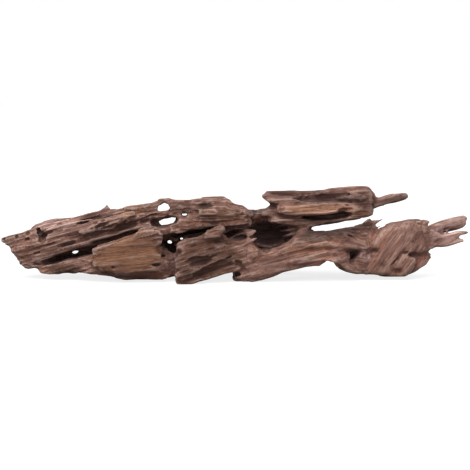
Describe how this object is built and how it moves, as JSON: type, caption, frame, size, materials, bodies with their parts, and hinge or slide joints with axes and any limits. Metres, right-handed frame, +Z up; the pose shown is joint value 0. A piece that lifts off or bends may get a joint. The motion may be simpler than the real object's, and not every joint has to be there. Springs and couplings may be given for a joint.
{
  "type": "honeycomb wood piece",
  "caption": "Weathered hardwood driftwood, hollowed along its grain into ribs, splinters and deep pockets. It lies on its side as a tank or display ornament.",
  "frame": {"origin": "bottom centre of the bounding box, on the surface that the piece lies on", "axes": "+X along the piece from its left tip to its splintered right end, +Y from the front wall to the back, +Z up"},
  "size_m": [0.4688, 0.079, 0.0918],
  "materials": {
    "weathered_wood": "rough weathered"
  },
  "bodies": {
    "root": {"honeycomb_wood": "weathered_wood"}
  },
  "joints": []
}
